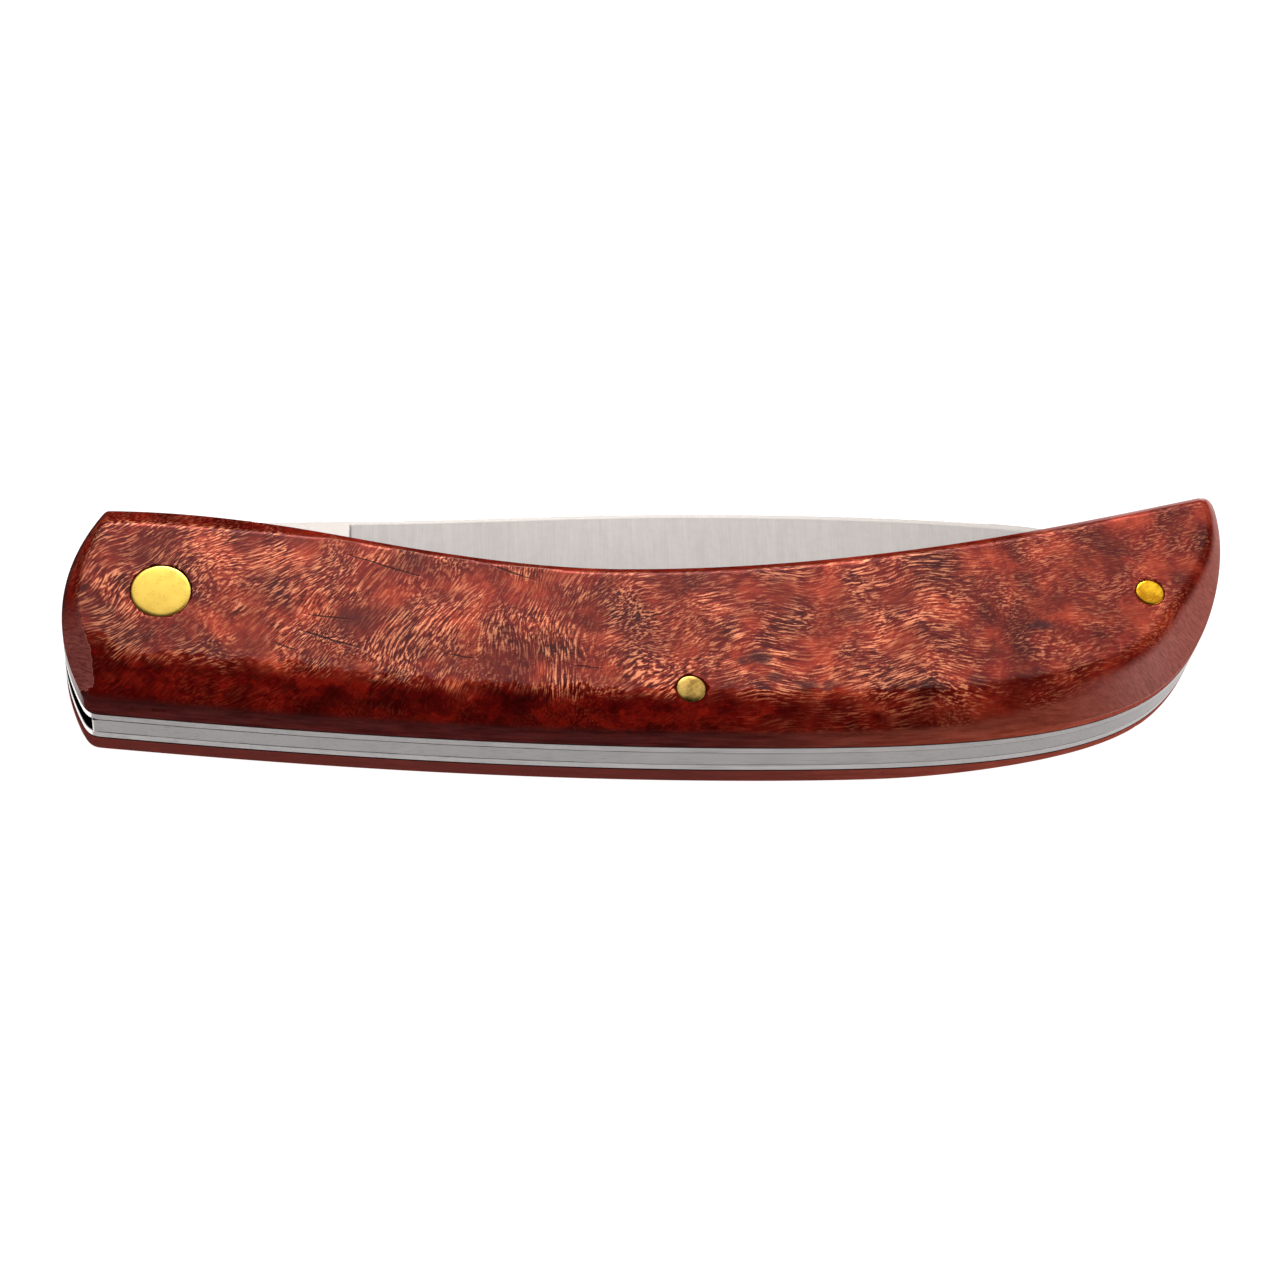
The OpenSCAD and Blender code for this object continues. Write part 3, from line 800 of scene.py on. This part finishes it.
def blade_mesh():
    left = PIVOT[0] - TANG_R
    a = np.linspace(0, math.pi / 2, 40)
    xs = np.unique(np.round(np.concatenate([
        left + 0.002 + (TANG_R - 0.002) * (1 - np.cos(a)),
        np.arange(PIVOT[0], SHOULDER_X - 0.01, 0.4), [SHOULDER_X - 0.005, SHOULDER_X],
        SHOULDER_X + np.array([0.1, 0.2, 0.3, 0.5]),
        np.arange(SHOULDER_X + 0.9, PLUNGE_X - 1.0, 0.4), np.arange(PLUNGE_X - 1.0, PLUNGE_X + 3.0, 0.07),
        np.arange(PLUNGE_X + 3.0, 40, 0.45), TIP[0] - 8.0 * (1 - np.linspace(0, 1, 40)) ** 2 - 0.003]), 4))
    rows = np.concatenate([[0, 0.05, 0.12, 0.25, 0.4, 0.56, 0.6, 0.64, 0.68, 0.75, 0.95, 1.2, 1.6],
                           np.linspace(2.1, 19, 40), [19.4, 19.7, 20.0]]) / 20.0
    m = len(rows)
    verts, grounds, belows = [], [], []
    for x in xs:
        top, bottom = float(blade_top(np.array(x))), float(blade_bottom(np.array(x)))
        tall = max(top - bottom, 0.004)
        y = top - tall * rows if tall < 16 else np.where(
            rows < 0.5, top - 20 * rows, lerp(top - 10, bottom, (rows - 0.5) / 0.5))
        half, ground, below = half_thickness(np.full(m, x), y, top, bottom)
        bevel = np.clip((SPINE_BEVEL - (top - y)) / SPINE_BEVEL, 0, 1)
        half = np.maximum(half - SPINE_BEVEL * bevel, THINNEST)
        verts += [(x, yy, MID_Z + h) for yy, h in zip(y, half)]
        verts += [(x, yy, MID_Z - h) for yy, h in zip(y[::-1], half[::-1])]
        grounds += list(ground) + list(ground[::-1])
        belows += list(below) + list(below[::-1])
    n = 2 * m
    faces = loft(n, len(xs)) + lids(n, len(xs))
    obj = make("blade_ground", verts, faces, 32, {"ground": grounds, "below": belows})
    cut(obj, [cutter(PIVOT, PIVOT_R + PIVOT_CLEARANCE, 0, KNIFE_T), nick_cutter()])
    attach(obj, "blade")
    return obj


blade = blade_mesh()
wear(blade, blade_material())
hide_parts("blade")

# ---------------------------------------------------------------- pins


def pin_mesh(name, at, radius, dome):
    """A pin whose two ends follow the scales' faces and are slightly domed with a broken edge."""
    rings = np.array([0.0, 0.2, 0.4, 0.6, 0.75, 0.86, 0.93, 0.97, 0.99, 1.0])
    sink = np.array([0, 0, 0, 0, 0.001, 0.004, 0.01, 0.03, 0.06, 0.12])
    seg = 96
    a = np.linspace(0, 2 * math.pi, seg, endpoint=False)
    unit = np.stack([np.cos(a), np.sin(a)], 1)
    verts, faces = [], []
    for sign in (1, -1):
        start = len(verts)
        for i, (r, low) in enumerate(zip(rings, sink)):
            pts = at + unit * radius * r if i else np.array([at])
            h = SCALE_T - face_drop(pts)[0] + dome * (1 - r * r) - low
            z = MID_Z + sign * (KNIFE_T / 2 - SCALE_T + h)
            verts += [(x, y, zz) for (x, y), zz in zip(pts, z)]
        first = start + 1
        faces += [[start, first + i, first + (i + 1) % seg] for i in range(seg)]
        for k in range(len(rings) - 2):
            o = first + k * seg
            faces += [[o + i, o + seg + i, o + seg + (i + 1) % seg, o + (i + 1) % seg] for i in range(seg)]
    per = 1 + (len(rings) - 1) * seg
    top, bottom = per - seg, 2 * per - seg
    faces += [[top + i, bottom + i, bottom + (i + 1) % seg, top + (i + 1) % seg] for i in range(seg)]
    obj = make(name, verts, faces, 40)
    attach(obj, "handle")
    return obj


# node, place, radius, dome, slot, then the brass: light, dark, roughness, seed, depth of its marks
PINS = (
    ("pivot_pin", PIVOT, PIVOT_R, 0.03, "pivot_brass",
     ((0.60, 0.40, 0.075), (0.585, 0.385, 0.068), 0.24, 1.0, 0.04)),
    ("centre_pin", CENTRE, PIN_R, 0.05, "pin_brass",
     ((0.40, 0.26, 0.07), (0.16, 0.09, 0.02), 0.26, 7.0, 0.12)),
    ("tail_pin", TAIL, PIN_R, 0.06, "pin_brass",
     ((0.72, 0.41, 0.02), (0.40, 0.17, 0.008), 0.2, 13.0, 0.12)),
)
for node, at, radius, dome, slot, brass in PINS:
    obj = pin_mesh(node + "_brass", at, radius, dome)
    wear(obj, brass_material(slot + "_" + node, *brass))
    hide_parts(node)

washer_mat = brass_material("washer_brass", (0.72, 0.52, 0.16), (0.5, 0.34, 0.1), 0.3, 21.0, 0.12)
for node in ("front_washer", "rear_washer"):
    wear(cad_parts[node], washer_mat)

# ---------------------------------------------------------------- floor, light and camera

TARGET = Vector((-2.2, -1.77, REAR_SPACER[0] + 4.82)) * MM
TOWARDS = Vector((-0.12533, -0.51098, 0.85041)).normalized()
CAMERA_DISTANCE = 0.315
FLOOR = 3000

camera = bpy.data.cameras.new("camera")
camera.lens, camera.sensor_width = 87.0, 36.0
camera.clip_start, camera.clip_end = 0.01, 20
cam = bpy.data.objects.new("camera", camera)
right = (Vector((1, 0, 0)) - TOWARDS * TOWARDS.x).normalized()
up = TOWARDS.cross(right)
pose = Matrix((right, up, TOWARDS)).transposed().to_4x4()
pose.translation = TARGET + TOWARDS * CAMERA_DISTANCE
cam.matrix_world = pose
bpy.context.scene.collection.objects.link(cam)
bpy.context.scene.camera = cam

floor = make("floor", [(-FLOOR, -FLOOR, 0), (FLOOR, -FLOOR, 0), (FLOOR, FLOOR, 0), (-FLOOR, FLOOR, 0)],
             [[0, 1, 2, 3]])
f = Shader("floor_white")
paper = f.noise(f.mm, 0.02, 2, 0.5)
f_shader = f.node("ShaderNodeBsdfPrincipled", None, {
    "Base Color": f.mix(paper, (0.30, 0.30, 0.30), (0.32, 0.32, 0.32)),
    "Roughness": 0.9, "Specular IOR Level": 0.1,
    "Emission Color": (1, 1, 1, 1), "Emission Strength": 0.96})
f.tree.links.new(f_shader.outputs[0], f.out.inputs["Surface"])
wear(floor, f.mat)


def area(name, elevation, azimuth, dist, size, radiance):
    """A rectangular softbox facing the knife; azimuth 90 is the +Y side."""
    e, a = math.radians(elevation), math.radians(azimuth)
    way = Vector((math.cos(e) * math.cos(a), math.cos(e) * math.sin(a), math.sin(e)))
    light = bpy.data.lights.new(name, "AREA")
    light.shape = "RECTANGLE"
    light.size, light.size_y = size
    light.energy = radiance * math.pi * size[0] * size[1]
    obj = bpy.data.objects.new(name, light)
    obj.location = way * dist
    obj.rotation_euler = way.to_track_quat("Z", "Y").to_euler()
    bpy.context.scene.collection.objects.link(obj)


area("key_softbox", 50, 78, 0.9, (1.15, 0.56), 1.4)
area("back_light", 36, 87, 1.0, (0.4, 0.3), 18)
area("tail_light", 32, -14, 0.32, (0.22, 0.16), 2.2)

world = bpy.data.worlds.new("studio")
world.use_nodes = True
wt = world.node_tree
wt.nodes.clear()
w_out = wt.nodes.new("ShaderNodeOutputWorld")
w_bg = wt.nodes.new("ShaderNodeBackground")
w_coord = wt.nodes.new("ShaderNodeTexCoord")
w_split = wt.nodes.new("ShaderNodeSeparateXYZ")
wt.links.new(w_coord.outputs["Generated"], w_split.inputs[0])


def world_ramp(source, stops):
    ramp = wt.nodes.new("ShaderNodeValToRGB")
    for e, (pos, grey) in zip(ramp.color_ramp.elements, stops):
        e.position, e.color = pos, (grey, grey, grey, 1)
    wt.links.new(source, ramp.inputs[0])
    return ramp.outputs[0]


# bright low down on the camera's side, dark overhead
w_mix = wt.nodes.new("ShaderNodeMix")
w_mix.data_type, w_mix.blend_type = "RGBA", "MULTIPLY"
w_mix.inputs[0].default_value = 1.0
w_y = wt.nodes.new("ShaderNodeMath")
w_y.operation = "ADD"
w_y.inputs[1].default_value = 0.5
wt.links.new(w_split.outputs[1], w_y.inputs[0])
wt.links.new(world_ramp(w_split.outputs[2], ((0.5, 0.6), (0.72, 0.04))), w_mix.inputs[6])
wt.links.new(world_ramp(w_y.outputs[0], ((0.5, 1.0), (1.0, 0.25))), w_mix.inputs[7])
wt.links.new(w_mix.outputs[2], w_bg.inputs["Color"])
wt.links.new(w_bg.outputs[0], w_out.inputs["Surface"])
bpy.context.scene.world = world
bpy.context.scene.view_settings.view_transform = "Standard"
